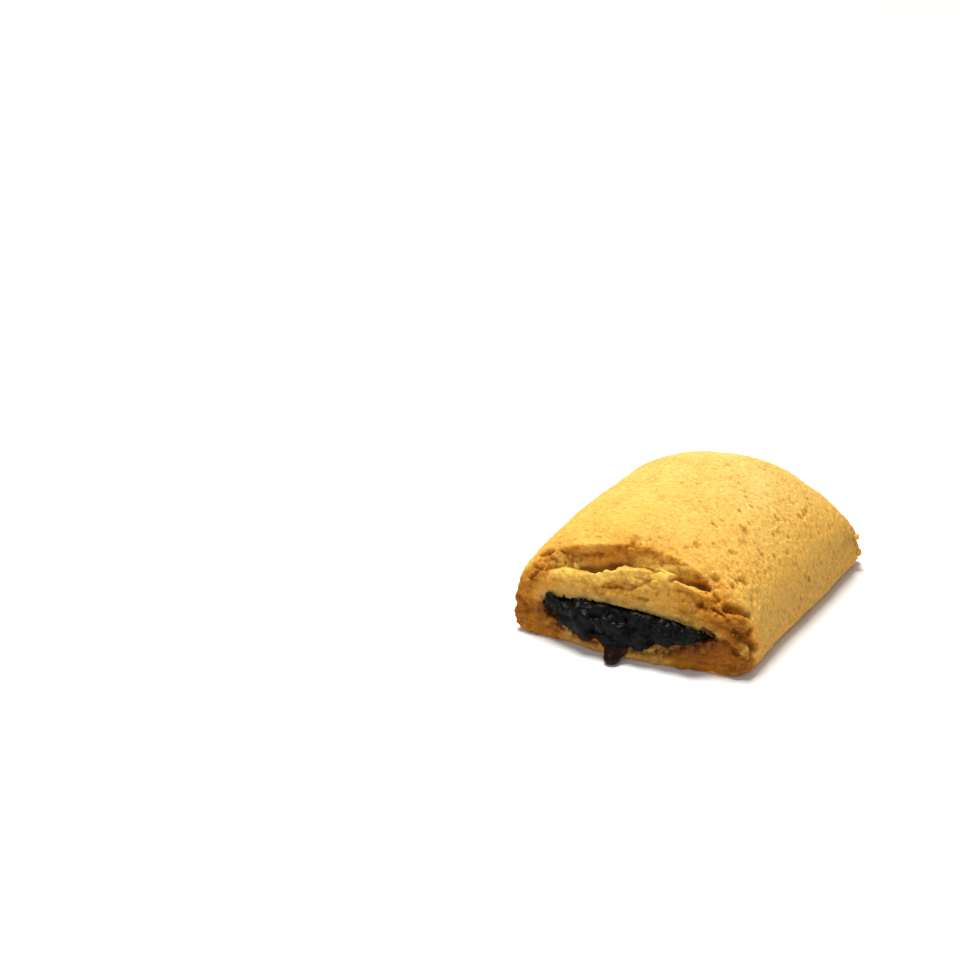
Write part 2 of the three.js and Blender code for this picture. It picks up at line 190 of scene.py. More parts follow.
# Lumps at the front right corner, which a painted highlight makes paler: place and radius
CORNER_LUMPS = [
    ((21.6, -24.3, 6.6), 0.5),
    ((22.5, -24.0, 5.9), 0.6),
    ((22.0, -24.2, 4.9), 0.7),
    ((23.2, -21.6, 4.2), 0.6),
]


def copy_of_node(node):
    """A bmesh of a CAD node, its loose triangles joined up again and paired into four-sided faces."""
    shape = bmesh.new()
    shape.from_mesh(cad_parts[node].data)
    bmesh.ops.remove_doubles(shape, verts=shape.verts, dist=0.001 * MM)
    bmesh.ops.join_triangles(
        shape,
        faces=shape.faces,
        angle_face_threshold=math.radians(50),
        angle_shape_threshold=math.radians(70),
    )
    return shape


def object_from(shape, name):
    """A new object in the scene from a bmesh, which is used up."""
    mesh = bpy.data.meshes.new(name)
    shape.to_mesh(mesh)
    shape.free()
    made = bpy.data.objects.new(name, mesh)
    bpy.context.scene.collection.objects.link(made)
    return made


def add_modifier(made, kind, **settings):
    """Adds a modifier to an object, with its settings."""
    modifier = made.modifiers.new(kind.lower(), kind)
    for name, value in settings.items():
        setattr(modifier, name, value)


def shade_smooth(mesh):
    """Lets every face run on into its neighbours without a visible edge."""
    mesh.polygons.foreach_set("use_smooth", np.ones(len(mesh.polygons), bool))


def apply_modifiers(made):
    """Bakes an object's modifiers into its mesh, and shades it smooth."""
    graph = bpy.context.evaluated_depsgraph_get()
    finished = bpy.data.meshes.new_from_object(made.evaluated_get(graph))
    made.modifiers.clear()
    old, made.data = made.data, finished
    bpy.data.meshes.remove(old)
    finished.name = made.name
    shade_smooth(finished)


def read_vertices(mesh, what):
    """Vertex positions ("co", in mm) or normals ("normal") as the rows of an array."""
    values = np.empty(3 * len(mesh.vertices), np.float32)
    mesh.vertices.foreach_get(what, values)
    rows = values.reshape(-1, 3).astype(float)
    return rows / MM if what == "co" else rows


def write_vertices(mesh, points):
    """Moves the vertices, but never below the table or out of the solid's box."""
    low, high = np.array(CAD_BOX) / MM
    mesh.vertices.foreach_set("co", (np.clip(points, low, high) * MM).astype(np.float32).ravel())
    mesh.update()


def write_attribute(mesh, name, values):
    """Stores a value from 0 to 1 for each vertex, which a material can read."""
    layer = mesh.attributes.new(name, "FLOAT", "POINT")
    layer.data.foreach_set("value", np.clip(values, 0, 1).astype(np.float32))


def search_tree(points):
    """A tree that finds the points near a place."""
    tree = kdtree.KDTree(len(points))
    for number, point in enumerate(points.tolist()):
        tree.insert(point, number)
    tree.balance()
    return tree


def path_distance(points, path):
    """How far each point is from the nearest stretch of a path, in mm."""
    nearest = np.full(len(points), np.inf)
    for start, end in zip(np.array(path[:-1]), np.array(path[1:])):
        along = end - start
        share = np.clip((points - start) @ along / (along @ along), 0, 1)
        nearest = np.minimum(nearest, np.linalg.norm(points - start - share[:, None] * along, axis=1))
    return nearest


def bell(distance, reach):
    """1 at no distance, about a third at the reach, and nearly nothing at twice that."""
    return np.exp(-((distance / reach) ** 2))


def ramp(values, low, high):
    """0 up to low, 1 from high on, and a smooth rise between them."""
    share = np.clip((values - low) / (high - low), 0, 1)
    return share * share * (3 - 2 * share)


def fall(values, low, high):
    """1 up to low, 0 from high on, and a smooth fall between them."""
    return ramp(-values, -high, -low)


def lumps(points, size, seed):
    """Smooth noise from about -1 to 1, with lumps of a size in mm."""
    return np.array([noise.fractal(p, 0.9, 2.0, 2) for p in (points / size + seed).tolist()])


def bent(points, size, reach):
    """Points pushed about at random by up to a reach in mm, so that lines and cells near them wander."""
    return points + reach * np.array([noise.noise_vector(p) for p in (points / size).tolist()])


def crumbs_of(points, size, seed):
    """Rounded crumbs of a size in mm: 1 on the top of each, down to about 0 in the creases between them."""
    cells = bent(points, 0.8 * size, 0.35 * size) / size + seed
    return np.array([1 - 1.7 * noise.voronoi(p)[0][0] ** 2 for p in cells.tolist()])


noise.seed_set(7)       # the noise that bends points starts from a random place otherwise
dough = object_from(copy_of_node("dough"), "shortbread_dough")
add_modifier(dough, "SUBSURF", levels=ROUNDING_STEPS, render_levels=ROUNDING_STEPS)
add_modifier(dough, "REMESH", mode="VOXEL", voxel_size=CELL_MM * MM)
apply_modifiers(dough)

# Where each point lies: how far from either cut, from the jam and from the tray, and which way it faces
points = read_vertices(dough.data, "co")
normals = read_vertices(dough.data, "normal")
x, y, z = points.T
from_front = y - FRONT_CUT_Y - CUT_SKEW * x
from_back = LOAF_LENGTH - from_front
in_oval = np.hypot(x / TUNNEL_HALF_WIDTH, (z - TUNNEL_MIDDLE_Z) / TUNNEL_HALF_HEIGHT) < 1
in_tunnel = in_oval & (from_front > TUNNEL_EDGE) & (from_back > TUNNEL_EDGE)
crust = np.where(in_tunnel, 0.0, 1.0)
above_jam = path_distance(points[:, [0, 2]], MOUTH_TOP)
below_jam = path_distance(points[:, [0, 2]], MOUTH_BOTTOM)
at_cut = fall(np.minimum(from_front, from_back), 1.0, 2.5)
on_base = fall(normals[:, 2], -0.95, -0.75) * fall(z, 0.1, 0.6)
upper = ramp(normals[:, 2], -0.1, 0.3)
front_face = fall(normals[:, 1], -0.85, -0.55) * fall(from_front, 4, 6)
back_face = ramp(normals[:, 1], 0.55, 0.85) * fall(from_back, 4, 6)
cut_face = front_face + back_face
lip = cut_face * fall(z, 3.5, 5.5)

# How near it is to the lines of the torn brow, which wander a little
wandering = bent(points, 1.7, 0.45)
to_rim = path_distance(wandering, RIM)
to_gap = path_distance(points, GAP)
to_roll = path_distance(wandering, ROLL)
to_fold = path_distance(wandering, FOLD)
rim = bell(to_rim, 0.8)
roll = bell(to_roll, 1.5)
right_folds = bell(path_distance(wandering, RIGHT_FOLDS), 2.3)
left_folds = bell(path_distance(wandering, LEFT_FOLDS), 2.3) * (0.8 - 0.5 * fall(x, -21.5, -19.5))
folds = np.maximum(right_folds, left_folds)
gap = 0.35 + 0.65 * fall(x, -4.6, -2.6)
slope = bell(to_gap, 1.9) * (1 - rim) * ramp(z, 14.6, 15.4)
torn = bell(np.minimum(to_roll, to_fold), 2.2) + 0.7 * rim + folds
torn = np.clip(torn + 0.6 * front_face * ramp(x, 7, 11) * ramp(z, 7.5, 10), 0, 1)
slits = np.zeros(len(points))
for path, half_width, depth in SLITS:
    slits = np.maximum(slits, depth * np.exp(-(path_distance(wandering, path) / half_width) ** 3))
corner_lumps = np.zeros(len(points))
for place, radius in CORNER_LUMPS:
    corner_lumps = np.maximum(corner_lumps, bell(np.linalg.norm(wandering - place, axis=1), radius))

# The dough's own unevenness, from swells of the whole crust down to its grain
coarse = lumps(points, 5.0, 3.1)
medium = lumps(points, 2.2, 11.7)
fine = lumps(points, 0.8, 27.3)
layers = lumps(bent(points, 2.5, 0.6) * (0.3, 0.6, 1.5), 1.3, 6.0)
strands = crumbs_of(points * (0.5, 1, 0.9), 1.8, 5.0)
crumbs = crumbs_of(points, 1.1, 9.0)
grain = crumbs_of(points * (0.8, 1.5, 0.8), 0.9, 2.0)

# Outward moves of the crust, in mm: everywhere first, then ragged layers where it tore, and the brow's forms
relief = 0.10 * coarse + 0.08 * medium + 0.15 * front_face * layers
relief += (1 - 0.5 * front_face) * (0.10 * fine + (0.09 + 0.06 * ramp(x, 12, 19)) * (grain - 0.5))
ragged = 0.25 * medium + (0.35 - 0.25 * folds) * layers + (0.60 - 0.25 * roll) * (strands - 0.6)
crags = torn * (ragged + 0.10 * fine)
crags += torn * (0.40 - 0.30 * roll) * (crumbs - 0.6)
crags += lip * (0.30 * medium + 0.20 * layers + 0.15 * fine + 0.30 * (strands - 0.6))
relief += np.minimum(crags, MOST_CRAG) + 0.3 * bell(to_rim, 1.6) * (crumbs - 0.5)
roll_height = ROLL_RISE - ROLL_DIP * ramp(x, -9.5, -7) * fall(x, -4, -2.5)
relief += RIM_RISE * rim * (1 + medium) + roll * roll_height
relief -= GAP_DEPTH * gap * bell(to_gap, 0.45) + FOLD_DEPTH * bell(to_fold, 0.4) * (1 + 1.5 * medium)
relief -= slits
relief += CORNER_LUMP_RISE * corner_lumps

# Pits: those listed, larger ones drawn over the right half of the crown, and small ones all over it
draw = np.random.default_rng(7)
on_crown = draw.permutation(np.flatnonzero(upper * crust * ramp(from_front, 4, 6) > 0.5))
on_right = [number for number in on_crown if points[number][0] > 5][:LARGER_PITS]
drawn_pits = []
for number in on_right:
    half_width = draw.uniform(0.28, 0.42)
    half_length = half_width * draw.uniform(1.6, 2.8)
    drawn_pits.append((points[number], half_width, half_length, draw.uniform(0.2, 0.45)))
for number in on_crown[:SMALL_PITS]:
    half_width = draw.uniform(0.18, 0.32)
    half_length = half_width * draw.uniform(1.8, 3.5)
    share = 0.6 if points[number][0] < 2 else 0.9
    drawn_pits.append((points[number], half_width, half_length, share * half_width))
tree = search_tree(points)
holes = np.zeros(len(points))
for place, half_width, half_length, depth in PITS + drawn_pits:
    _, middle, _ = tree.find(place)
    near = [number for _, number, _ in tree.find_range(points[middle], 2.2 * half_length)]
    out = normals[middle]
    downhill = STRETCH_WAY - out * (STRETCH_WAY @ out)
    downhill /= np.linalg.norm(downhill)
    offset = points[near] - points[middle]
    oval = np.hypot(offset @ downhill / half_length, offset @ np.cross(out, downhill) / half_width)
    oval *= 1 + 0.35 * medium[near] + 0.2 * fine[near]
    holes[near] += depth * (np.exp(-oval ** 2.5) - 0.15 * bell(oval - 1.5, 0.4))
relief -= holes
write_vertices(dough.data, points + normals * (relief * crust * (1 - on_base))[:, None])

# Golden: all but the top of the crown, which the oven left paler; more on the crown's left is painted shade
golden = 1 - ramp(z, 14, 24) * ramp(from_front, 2, 34) * (1 - 0.25 * fall(x, -12, -3))

# Toast and painted shade: torn edges, slits and lip patches, a paler roll, and painted shade on the gap's
# slope
toast_and_shade = 0.52 * bell(to_rim, 1.5) - 0.3 * roll + 0.45 * folds + 0.3 * slits
toast_and_shade += 0.3 * bell(path_distance(wandering, SECOND_RIM), 0.9)
toast_and_shade += lip * (0.3 * medium + 0.3 * layers - 0.45 + 0.55 * ramp(x, 5, 14) + 0.4 * fall(x, -16, -9))
toast_and_shade += slope * (0.2 + 0.25 * fall(x, -1, 1)) - 0.6 * corner_lumps
# then the lower part that the tray heated, with painted shade added, the cut faces, and the loaf's corners
toast_and_shade += (0.45 - 0.2 * ramp(x, 10, 18)) * fall(z, 3, 14) + 0.5 * ramp(x, 17, 22) * fall(from_front, 1, 4)
toast_and_shade += 0.22 * cut_face + front_face * (0.2 * ramp(x, 4, 14) + 0.25 * ramp(x, 10, 18) * fall(z, 5, 7))
# painted shade down the left side, then the loaf's corners
toast_and_shade += 0.1 * fall(x, -15, -5) + 0.25 * at_cut * ramp(np.abs(x), 17, 22) * ramp(from_front, 30, 40)
# painted shade low at the back right
toast_and_shade += 0.05 * ramp(x, 19, 23) * ramp(from_front, 34, 50)
# and last the burnt flecks, every part a little, unevenly, and painted shade between the torn crumbs
for place, radius in SPECKS:
    toast_and_shade += 0.8 * bell(np.linalg.norm(points - place, axis=1), radius)
toast_and_shade += (0.08 + 0.15 * front_face) * (coarse + medium) + 0.25 * torn * (0.5 - crumbs)

# Bare: pale dough that tore open late, over the mouth, in the gap's slope and in patches on the lip
bare = cut_face * bell(np.maximum(above_jam - 0.8, 0), 1.5) * ramp(z, 5.5, 8)
bare += 0.6 * lip * bell(x - 1, 8) * ramp(medium + layers, -0.5, 0.5)
bare += 0.45 * ramp(x, 14, 19) * fall(z, 7, 13) * ramp(from_front, 3, 8)
bare = np.clip(bare + slope * (0.45 + 0.15 * ramp(x, -1, 1)), 0, 1) * (0.85 + 0.3 * medium)

# Painted highlight on the roll's crests and corner lumps; painted shade in pits, slits, gap, slope, fold,
# creases
painted_highlight = bell(to_roll, 1.8) * (0.5 + 0.6 * ramp(strands, 0.3, 0.8)) + 0.5 * corner_lumps
crease_shade = torn * (1 - 0.5 * roll) * (0.4 * fall(strands, -0.1, 0.35) + 0.3 * fall(crumbs, -0.1, 0.35))
crease_shade += 0.25 * fall(grain, -0.1, 0.3)
painted_shade = 0.7 * holes + 0.45 * slope * fall(x, -1, 1) + 1.3 * gap * bell(to_gap, 0.65)
painted_shade += 0.4 * bell(to_fold, 0.5)
# painted shade low at the back right
painted_shade += 0.12 * ramp(x, 19, 23) * ramp(from_front, 30, 50) * fall(z, 6, 12)
# painted shade over the front face, away from the roll's crests and the bare dough
face_shade = 0.32 * front_face * (1 - bell(to_roll, 2.8)) * (1 - np.clip(1.5 * bare, 0, 1))
painted_shade += 0.9 * slits + crease_shade + face_shade

# Stained and smeared: the jam's juice soaked into the lip below it, and jam caught on the brow above it
juicy = bell(np.maximum(below_jam - 0.7, 0), 1.0 + 0.8 * ramp(x, 0, 8) + 0.5 * fall(x, -10, -6))

write_attribute(dough.data, "golden", golden + 0.15 * coarse)
write_attribute(dough.data, "toast_and_shade", toast_and_shade * (1 - 0.8 * bare))
write_attribute(dough.data, "bare", bare)
write_attribute(dough.data, "painted_highlight", painted_highlight)
write_attribute(dough.data, "painted_shade", painted_shade)
write_attribute(dough.data, "stained", juicy * at_cut)
write_attribute(dough.data, "smeared", (1 - above_jam / 1.6) * at_cut)

triangles = sum(len(face.vertices) - 2 for face in dough.data.polygons)
add_modifier(dough, "DECIMATE", ratio=MOST_TRIANGLES / triangles)
apply_modifiers(dough)
write_vertices(dough.data, read_vertices(dough.data, "co"))      # thinning can move the outermost points out

# The dough's colours, and by how much its grain and flecks of sugar darken or lighten them
PALE_GOLD = "#E9C671"
WARM_GOLD = "#E6BC63"
DEEP_GOLD = "#EFBA56"
BARE_CREAM = "#BFA05A"
TOAST = "#CB841A"
TRAY_BROWN = "#9A5B12"
# a painted highlight, then painted shade for hollows and for creases
HIGHLIGHT_YELLOW = "#FFD462"
SHADE_BROWN = "#884F0C"
CREASE_SHADE_BROWN = "#B27C2C"
JUICE_STAIN = "#4A1B09"
JAM_SMEAR = "#14120C"
GRAIN_DARK = (0.79, 0.74, 0.62, 1)
GRAIN_LIGHT = (1.14, 1.14, 1.14, 1)
FLECK_LIGHT = (1.22, 1.26, 1.36, 1)

# Real sizes of its patterns
BLOTCH_MM = 7
GRAIN_MM = 0.5
FLECK_MM = 0.7
STAIN_MM = 1.4
SMEAR_MM = 1.1
GRIT_MM = 0.45          # shortbread's finest grit is about 0.2 mm, too fine to show
GRIT_DEPTH_MM = 0.18
CREASE_LENGTH_MM = 1.3
CREASE_WIDTH_MM = 0.45
CREASES_PER_M = (1 / (CREASE_LENGTH_MM * MM), 1 / (CREASE_WIDTH_MM * MM), 1 / (CREASE_LENGTH_MM * MM))

# How a Mix node is set to blend or to multiply colours, and the sockets that it then uses
BLEND = {"data_type": "RGBA"}
MULTIPLY = {"data_type": "RGBA", "blend_type": "MULTIPLY"}
SHARE, A, B, RESULT = 0, 6, 7, 2


def linear(hex_colour):
    """An sRGB hex colour as linear red, green, blue and alpha."""
    channels = [int(hex_colour[i:i + 2], 16) / 255 for i in (1, 3, 5)]
    return (*(c / 12.92 if c <= 0.04045 else ((c + 0.055) / 1.055) ** 2.4 for c in channels), 1.0)


def add(tree, kind, settings=None, inputs=None):
    """Adds a shader node, and sets its sockets to values or links them to other nodes' sockets."""
    made = tree.nodes.new("ShaderNode" + kind)
    for name, value in (settings or {}).items():
        setattr(made, name, value)
    for name, value in (inputs or {}).items():
        if isinstance(value, bpy.types.NodeSocket):
            tree.links.new(value, made.inputs[name])
        else:
            made.inputs[name].default_value = value
    return made


def new_material(name):
    """An empty node material with its output, and the object coordinates in metres."""
    material = bpy.data.materials.new(name)
    material.use_nodes = True
    tree = material.node_tree
    tree.nodes.clear()
    return material, tree, add(tree, "TexCoord").outputs["Object"]


def baked_shortbread():
    """Baked shortbread: dry and pale gold where the oven only dried it, orange where it toasted, brown where
    it lay on the hot tray, and creamy where it tore open late. Fat and sugar give a faint, wide shine."""
    material, tree, where = new_material("baked_shortbread")

    # Pale gold in faint blotches, and deeper gold down the sides
    blotches = add(tree, "TexNoise", inputs={
        "Vector": where, "Scale": 1 / (BLOTCH_MM * MM), "Detail": 3.0,
    }).outputs["Fac"]
    blotch_share = add(tree, "MapRange", inputs={
        "Value": blotches, "From Min": 0.35, "From Max": 0.65,
    }).outputs[0]
    crown = add(tree, "Mix", BLEND, {
        SHARE: blotch_share, A: linear(PALE_GOLD), B: linear(WARM_GOLD),
    }).outputs[RESULT]
    golden_share = add(tree, "Attribute", {"attribute_name": "golden"}).outputs["Fac"]
    golden = add(tree, "Mix", BLEND, {SHARE: golden_share, A: crown, B: linear(DEEP_GOLD)}).outputs[RESULT]

    # Bare dough, toast mixed with painted shade, painted highlights on crests and painted shade in hollows
    bare_share = add(tree, "Attribute", {"attribute_name": "bare"}).outputs["Fac"]
    bared = add(tree, "Mix", BLEND, {SHARE: bare_share, A: golden, B: linear(BARE_CREAM)}).outputs[RESULT]
    brown_share = add(tree, "Attribute", {"attribute_name": "toast_and_shade"}).outputs["Fac"]
    toast_share = add(tree, "MapRange", inputs={
        "Value": brown_share, "From Min": 0.05, "From Max": 0.6,
    }).outputs[0]
    toasted = add(tree, "Mix", BLEND, {SHARE: toast_share, A: bared, B: linear(TOAST)}).outputs[RESULT]
    deep_share = add(tree, "MapRange", inputs={
        "Value": brown_share, "From Min": 0.5, "From Max": 1.0,
    }).outputs[0]
    deep = add(tree, "Mix", BLEND, {SHARE: deep_share, A: toasted, B: linear(TRAY_BROWN)}).outputs[RESULT]
    highlight_share = add(tree, "Attribute", {"attribute_name": "painted_highlight"}).outputs["Fac"]
    highlighted = add(tree, "Mix", BLEND, {SHARE: highlight_share, A: deep, B: linear(HIGHLIGHT_YELLOW)}).outputs[RESULT]
    shade_here = add(tree, "Attribute", {"attribute_name": "painted_shade"}).outputs["Fac"]
    shade_share = add(tree, "Math", {"operation": "MULTIPLY"}, {0: shade_here, 1: 0.8}).outputs[0]
    shade_painted = add(tree, "Mix", BLEND, {
        SHARE: shade_share, A: highlighted, B: linear(SHADE_BROWN),
    }).outputs[RESULT]

    # Short creases across the loaf, where the crust stretched as it rose, darkened as painted shade
    across = add(tree, "VectorMath", {"operation": "MULTIPLY"}, {0: where, 1: CREASES_PER_M}).outputs[0]
    stretched = add(tree, "TexNoise", inputs={"Vector": across, "Scale": 1.0, "Detail": 1.0}).outputs["Fac"]
    crease_here = add(tree, "MapRange", inputs={
        "Value": stretched, "From Min": 0.56, "From Max": 0.7, "To Max": 0.45,
    }).outputs[0]
    crease_share = add(tree, "Math", {"operation": "MULTIPLY"}, {0: crease_here, 1: blotch_share}).outputs[0]
    crease_shaded = add(tree, "Mix", BLEND, {
        SHARE: crease_share, A: shade_painted, B: linear(CREASE_SHADE_BROWN),
    }).outputs[RESULT]

    # The crumb's grain, stronger in some blotches than in others, and pale flecks of sugar
    grains = add(tree, "TexNoise", inputs={
        "Vector": where, "Scale": 1 / (GRAIN_MM * MM), "Detail": 3.0,
    }).outputs["Fac"]
    grain_share = add(tree, "MapRange", inputs={"Value": grains, "From Min": 0.3, "From Max": 0.7}).outputs[0]
    grain_tone = add(tree, "Mix", BLEND, {SHARE: grain_share, A: GRAIN_DARK, B: GRAIN_LIGHT}).outputs[RESULT]
    patchy = add(tree, "MapRange", inputs={
        "Value": blotches, "From Min": 0.35, "From Max": 0.65, "To Min": 0.5, "To Max": 1.0,
    }).outputs[0]
    grained = add(tree, "Mix", MULTIPLY, {SHARE: patchy, A: crease_shaded, B: grain_tone}).outputs[RESULT]
    flecks = add(tree, "TexNoise", inputs={
        "Vector": where, "Scale": 1 / (FLECK_MM * MM), "Detail": 1.0,
    }).outputs["Fac"]
    fleck_share = add(tree, "MapRange", inputs={
        "Value": flecks, "From Min": 0.6, "From Max": 0.72,
    }).outputs[0]
    flecked = add(tree, "Mix", MULTIPLY, {SHARE: fleck_share, A: grained, B: FLECK_LIGHT}).outputs[RESULT]

    # Juice soaked in round the jam, and ragged smears of jam above it
    soaked = add(tree, "TexNoise", inputs={
        "Vector": where, "Scale": 1 / (STAIN_MM * MM), "Detail": 3.0,
    }).outputs["Fac"]
    soaked_part = add(tree, "MapRange", inputs={"Value": soaked, "From Min": 0.3, "From Max": 0.6}).outputs[0]
    stained_here = add(tree, "Attribute", {"attribute_name": "stained"}).outputs["Fac"]
    stain_share = add(tree, "Math", {"operation": "MULTIPLY"}, {0: stained_here, 1: soaked_part}).outputs[0]
    stained = add(tree, "Mix", BLEND, {
        SHARE: stain_share, A: flecked, B: linear(JUICE_STAIN),
    }).outputs[RESULT]
    smeared_here = add(tree, "Attribute", {"attribute_name": "smeared"}).outputs["Fac"]
    smears = add(tree, "TexNoise", inputs={
        "Vector": where, "Scale": 1 / (SMEAR_MM * MM), "Detail": 2.0,
    }).outputs["Fac"]
    ragged = add(tree, "Math", {"operation": "MULTIPLY_ADD"}, {0: smears, 1: 1.7, 2: smeared_here}).outputs[0]
    smear_share = add(tree, "MapRange", inputs={
        "Value": ragged, "From Min": 1.68, "From Max": 1.78,
    }).outputs[0]
    smeared = add(tree, "Mix", BLEND, {SHARE: smear_share, A: stained, B: linear(JAM_SMEAR)}).outputs[RESULT]

    # Grit that can be felt, broken by the creases
    grit = add(tree, "TexNoise", inputs={
        "Vector": where, "Scale": 1 / (GRIT_MM * MM), "Detail": 4.0,
    }).outputs["Fac"]
    height = add(tree, "Math", {"operation": "SUBTRACT"}, {0: grit, 1: crease_share}).outputs[0]
    gritty = add(tree, "Bump", inputs={
        "Strength": 0.8, "Distance": GRIT_DEPTH_MM * MM, "Height": height,
    }).outputs[0]
    shader = add(tree, "BsdfPrincipled", inputs={
        "Base Color": smeared,
        "Roughness": 0.8,
        "Specular IOR Level": 0.2,
        "Subsurface Weight": 0.15,
        "Subsurface Radius": (1.0, 0.5, 0.2),
        "Subsurface Scale": 0.8 * MM,
        "Normal": gritty,
    })
    add(tree, "OutputMaterial", inputs={"Surface": shader.outputs[0]})
    return material


dough.data.materials.clear()
dough.data.materials.append(baked_shortbread())
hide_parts("dough")
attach(dough, "root")


# ------------------------------------------------------------------------------------------------------------
# The jam: a thick rope of cooked dark berries that fills the dough's tunnel. At the front cut it swelled out
# in glossy lumps of fruit, welled over the lower lip and ran down in front of it to a drop on the table.

JAM_CELL_MM = 0.3
JAM_SWELL = 0.34        # closes the solids' gap between jam and dough
DROP_PLACE = (-0.8, -31.1, 1.2)
DROP_SHAPE = (1.4, 1.2, 1)      # its width, depth and height against each other

LUMP_SIZE = 2.5         # whole pieces of fruit
LUMP_RISE = 1.1
SEED_SIZE = 0.9         # seeds and torn skin on them
SEED_RISE = 0.25


def smooth(made, times, wanted):
    """Evens out the vertices for which wanted(x, y, z) is true, with x, y and z in mm."""
    shape = bmesh.new()
    shape.from_mesh(made.data)
    chosen = [vertex for vertex in shape.verts if wanted(*(vertex.co / MM))]
    for _ in range(times):
        bmesh.ops.smooth_vert(
            shape, verts=chosen, factor=0.5, use_axis_x=True, use_axis_y=True, use_axis_z=True)
    shape.to_mesh(made.data)
    shape.free()


def near_drop(points, core, reach):
    """1 for points within a core round the drop's middle, and 0 for those beyond a reach."""
    return fall(np.linalg.norm((points - DROP_PLACE) / DROP_SHAPE, axis=1), core, reach)


jam = object_from(copy_of_node("jam"), "berry_jam")
add_modifier(jam, "SUBSURF", levels=1, render_levels=1)
add_modifier(jam, "REMESH", mode="VOXEL", voxel_size=JAM_CELL_MM * MM)
apply_modifiers(jam)
smooth(jam, 14, lambda x, y, z: y < FRONT_CUT_Y - 1.5 and z < 4.5)

points = read_vertices(jam.data, "co")
points += JAM_SWELL * read_vertices(jam.data, "normal")
x, y, z = points.T.copy()       # these stay as they are while the points move
from_front = y - FRONT_CUT_Y - CUT_SKEW * x
outside = fall(from_front, -0.4, 1.2)
dropped = near_drop(points, 1.4, 2.0)
at_mouth = fall(from_front, 0.2, 1.6) * (1 - fall(from_front, -3.4, -2.6))
crest = ramp(z + 0.012 * x * x, 5.0, 8.0)

# Out towards the mouth's left tip, forward at the crest, up in crags against the brow, back into the lip on
# the left, down over it on the right, close to it in the middle, and into a small round drop below that
points[:, 0] -= 1.4 * at_mouth * fall(x, -15.5, -11)
points[:, 1] -= at_mouth * crest * (0.3 + 0.5 * ramp(x, -14, 6))
crags = np.clip(0.8 + 1.5 * lumps(points * (1, 0.6, 0.4), 2.4, 17.0), 0.2, 1.8)
points[:, 2] += at_mouth * crest * fall(from_front, -0.3, 0.3) * crags
points[:, 1] += 1.2 * outside * fall(x, -11, -7) * fall(z, 4, 6.5)
over_lip = outside * ramp(x, 2, 6) * fall(x, 13, 16) * fall(z, 5.5, 7) * fall(from_front, 0.5, 2)
points -= over_lip[:, None] * (0, 1.1, 0.2)
points[:, 1] += 0.9 * outside * (1 - dropped) * bell(x + 1.5, 6) * fall(z, 3, 4.5)
points[:, 0] -= 0.22 * dropped * (x - DROP_PLACE[0])
points[:, 2] *= 1 - 0.22 * dropped
write_vertices(jam.data, points)
add_modifier(jam, "REMESH", mode="VOXEL", voxel_size=JAM_CELL_MM * MM)
apply_modifiers(jam)
smooth(jam, 3, lambda x, y, z: y < FRONT_CUT_Y + 1)

# Lumps of fruit where the jam stands free
points = read_vertices(jam.data, "co")
normals = read_vertices(jam.data, "normal")
x, y, z = points.T
from_front = y - FRONT_CUT_Y - CUT_SKEW * x
free = np.maximum(fall(from_front, -0.6, 0.8), fall(LOAF_LENGTH - from_front, -0.6, 0.8))
dropped = near_drop(points, 1.6, 2.3)
chunks = crumbs_of(points, LUMP_SIZE, 1.3)
seeds = crumbs_of(points, SEED_SIZE, 4.0)
pulp = lumps(points, 0.9, 8.8)
fruit = LUMP_RISE * (chunks - 0.5) + SEED_RISE * (seeds - 0.5) + 0.1 * pulp
write_vertices(jam.data, points + normals * (free * (1 - dropped) * (fruit - 0.05))[:, None])

# Where it's a thin film, where it's wettest, and the lump tops, left lighter than painted shade between them
thin = fall(z, 1.8, 3.2) * fall(from_front, -0.8, 0.5) * (1 - dropped)
thin += dropped * (0.12 + 0.15 * fall(z, 0.2, 1.2))
write_attribute(jam.data, "thin", thin * (0.8 + 0.5 * pulp))
write_attribute(jam.data, "wet", np.maximum(dropped, 0.9 * ramp(pulp, 0.15, 0.5)))
write_attribute(jam.data, "lit_lump_tops", ramp(0.6 * chunks + 0.4 * seeds, 0.1, 0.8))

CREVICE_SHADE_BLACK = "#030403"
FRUIT_BLACK = "#0D1110"
JUICE_RED = "#5C1D10"
PULP_MM = 0.8
PULP_DEPTH_MM = 0.15


def cooked_berry_jam():
    """Cooked berry jam: nearly black in the mass, wine-red where a thin film lets light through, and wet, so
    that each lump catches a small sharp glint."""
    material, tree, where = new_material("cooked_berry_jam")
    lump_top_share = add(tree, "Attribute", {"attribute_name": "lit_lump_tops"}).outputs["Fac"]
    # near black in the crevices between lumps as painted shade, a little less black on the lump tops
    mass = add(tree, "Mix", BLEND, {
        SHARE: lump_top_share, A: linear(CREVICE_SHADE_BLACK), B: linear(FRUIT_BLACK),
    }).outputs[RESULT]
    thin_share = add(tree, "Attribute", {"attribute_name": "thin"}).outputs["Fac"]
    body = add(tree, "Mix", BLEND, {SHARE: thin_share, A: mass, B: linear(JUICE_RED)}).outputs[RESULT]
    wet_share = add(tree, "Attribute", {"attribute_name": "wet"}).outputs["Fac"]
    roughness = add(tree, "MapRange", inputs={"Value": wet_share, "To Min": 0.45, "To Max": 0.2}).outputs[0]
    pulp_grain = add(tree, "TexNoise", inputs={
        "Vector": where, "Scale": 1 / (PULP_MM * MM), "Detail": 1.0,
    }).outputs["Fac"]
    pulpy = add(tree, "Bump", inputs={
        "Strength": 0.5, "Distance": PULP_DEPTH_MM * MM, "Height": pulp_grain,
    }).outputs[0]
    shader = add(tree, "BsdfPrincipled", inputs={
        "Base Color": body,
        "Roughness": roughness,
        "IOR": 1.4,
        "Specular IOR Level": 0.14,
        "Normal": pulpy,
    })
    add(tree, "OutputMaterial", inputs={"Surface": shader.outputs[0]})
    return material


